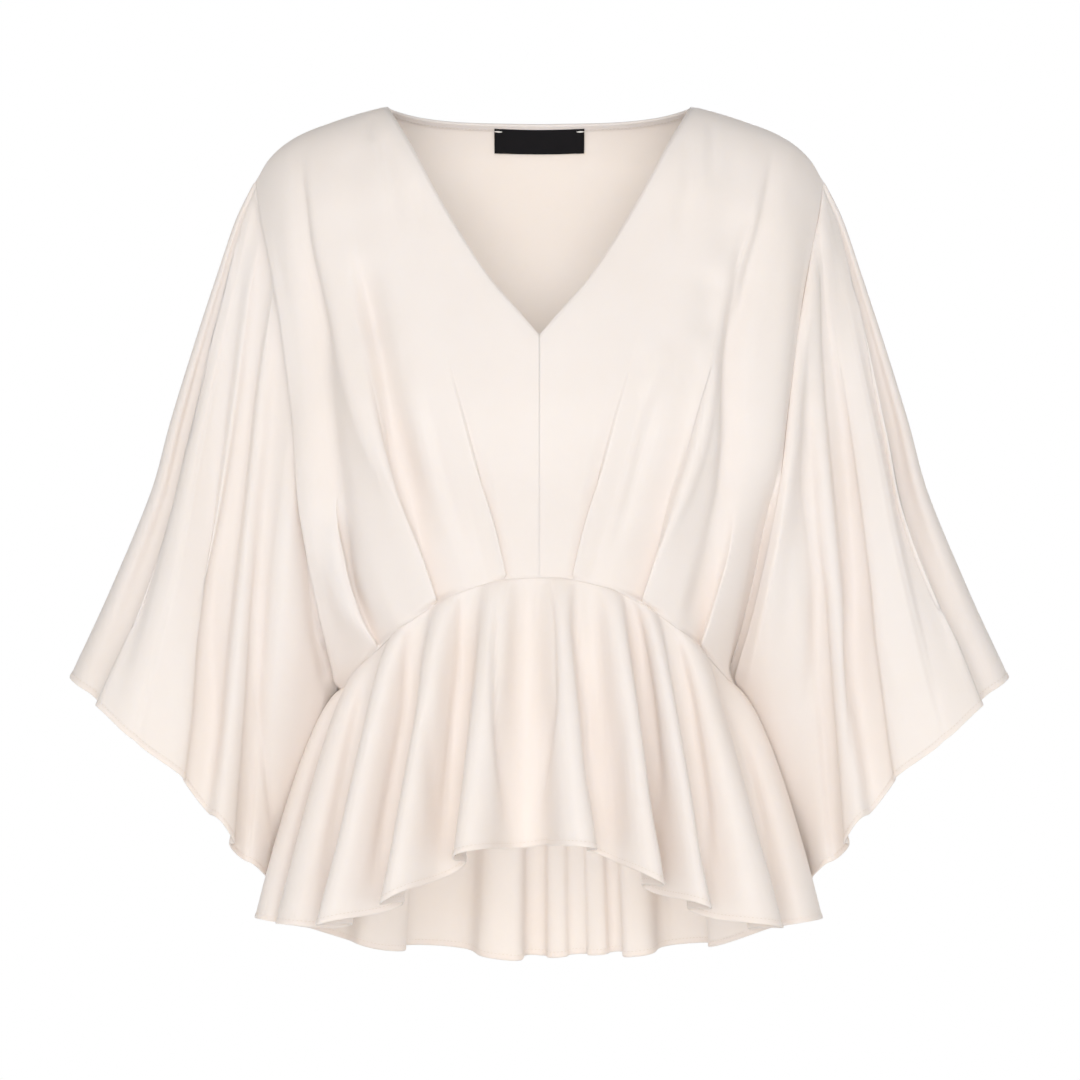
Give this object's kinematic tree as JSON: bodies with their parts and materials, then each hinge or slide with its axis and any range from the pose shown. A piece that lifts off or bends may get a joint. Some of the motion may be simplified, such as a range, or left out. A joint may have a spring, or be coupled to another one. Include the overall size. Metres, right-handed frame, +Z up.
{
  "type": "ruffle blouse",
  "caption": "Hollow blouse with a V neck, wide flared batwing sleeves, pleats fanning up from an arched waist seam and a fluted peplum ruffle that dips at the back.",
  "frame": {"origin": "midway between the two neck points, where the shoulder seams meet the neck edge, which rest on the wearer's shoulders", "axes": "+X to the wearer's left, +Y from the front to the back, +Z up"},
  "size_m": [0.7048, 0.2817, 0.6528],
  "materials": {
    "cream_crepe": "soft satin-backed crepe",
    "label_cloth": "woven, matt"
  },
  "bodies": {
    "root": {"back": "cream_crepe", "front_left": "cream_crepe", "front_right": "cream_crepe", "neck_binding": "cream_crepe", "neck_label": "label_cloth", "peplum_back": "cream_crepe", "peplum_front": "cream_crepe", "sleeve_left": "cream_crepe", "sleeve_right": "cream_crepe"}
  },
  "joints": []
}
